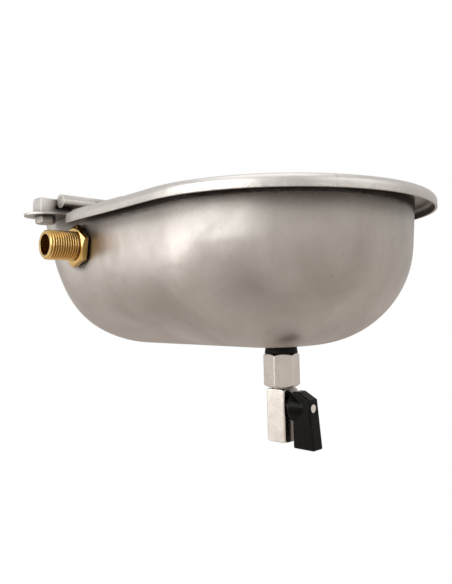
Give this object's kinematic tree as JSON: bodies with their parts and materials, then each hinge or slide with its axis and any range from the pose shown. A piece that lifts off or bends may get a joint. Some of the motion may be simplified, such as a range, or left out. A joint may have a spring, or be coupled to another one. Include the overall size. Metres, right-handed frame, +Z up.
{
  "type": "livestock drinking bowl",
  "caption": "Wall-hung stainless animal drinking bowl with hinged float cover, float valve behind a brass threaded inlet, and a ball valve drain with a black lever.",
  "frame": {"origin": "midway between the two wall screw holes, on the wall's face", "axes": "+X out of the wall towards the drinking animal, +Z up, the water inlet on the -Y side"},
  "size_m": [0.281, 0.244, 0.182],
  "materials": {
    "stainless_sheet": "satin stainless sheet, softly blotched",
    "stainless_bar": "satin stainless bar",
    "bolt_steel": "dull stainless bolt",
    "brass": "machined brass",
    "black_rubber": "matt black rubber",
    "white_plastic": "white low-friction plastic",
    "float_plastic": "off-white moulded plastic",
    "satin_steel": "satin machined steel",
    "nickel_plate": "bright nickel plate, slightly pitted",
    "ball_chrome": "polished chrome",
    "black_lever": "glossy black plastic",
    "zinc_screw": "bright zinc-plated steel"
  },
  "bodies": {
    "bowl": {"bowl_shell": "stainless_sheet", "hinge_bar": "stainless_bar", "hinge_bolts": "bolt_steel", "left_knuckle": "stainless_bar", "right_knuckle": "stainless_bar", "hinge_pin": "stainless_bar", "inlet_gasket": "black_rubber", "inlet_lock_nut": "brass", "inner_gasket": "black_rubber", "float_valve_body": "brass", "valve_nozzle": "brass", "arm_pin": "stainless_bar", "drain_stud": "stainless_bar", "drain_inner_gasket": "black_rubber", "drain_gasket": "black_rubber", "drain_coupling": "satin_steel", "valve_body": "nickel_plate", "valve_retainer": "nickel_plate", "upper_seat": "white_plastic", "lower_seat": "white_plastic", "stem_o_ring": "black_rubber", "gland_nut": "nickel_plate"},
    "cover": {"float_cover": "stainless_sheet"},
    "plunger": {"plunger": "white_plastic", "plunger_washer": "black_rubber"},
    "float_lever": {"float_arm": "brass", "float": "float_plastic", "float_washer": "stainless_bar", "float_nut": "brass"},
    "drain_lever": {"lever_handle": "black_lever", "lever_screw": "zinc_screw", "valve_stem": "nickel_plate", "valve_ball": "ball_chrome"}
  },
  "joints": [
    {"name": "cover_hinge", "type": "hinge", "parent": "bowl", "child": "cover", "pos_m": [0.056, 0, 0.031], "axis": [0, -1, 0], "range_deg": [0, 118]},
    {"name": "float_pivot", "type": "hinge", "parent": "bowl", "child": "float_lever", "pos_m": [0.06935, -0.04736, -0.0114], "axis": [0.9981, -0.061, 0], "range_deg": [0, 22]},
    {"name": "plunger_slide", "type": "slide", "parent": "bowl", "child": "plunger", "axis": [-0.061, -0.9981, 0], "range_m": [0, 0.00346]},
    {"name": "drain_turn", "type": "hinge", "parent": "bowl", "child": "drain_lever", "pos_m": [0.176, 0, -0.1186], "axis": [1, 0, 0], "range_deg": [0, 90]}
  ],
  "couplings": [
    {"joint": "plunger_slide", "follows": "float_pivot", "m_per_rad": 0.009}
  ]
}
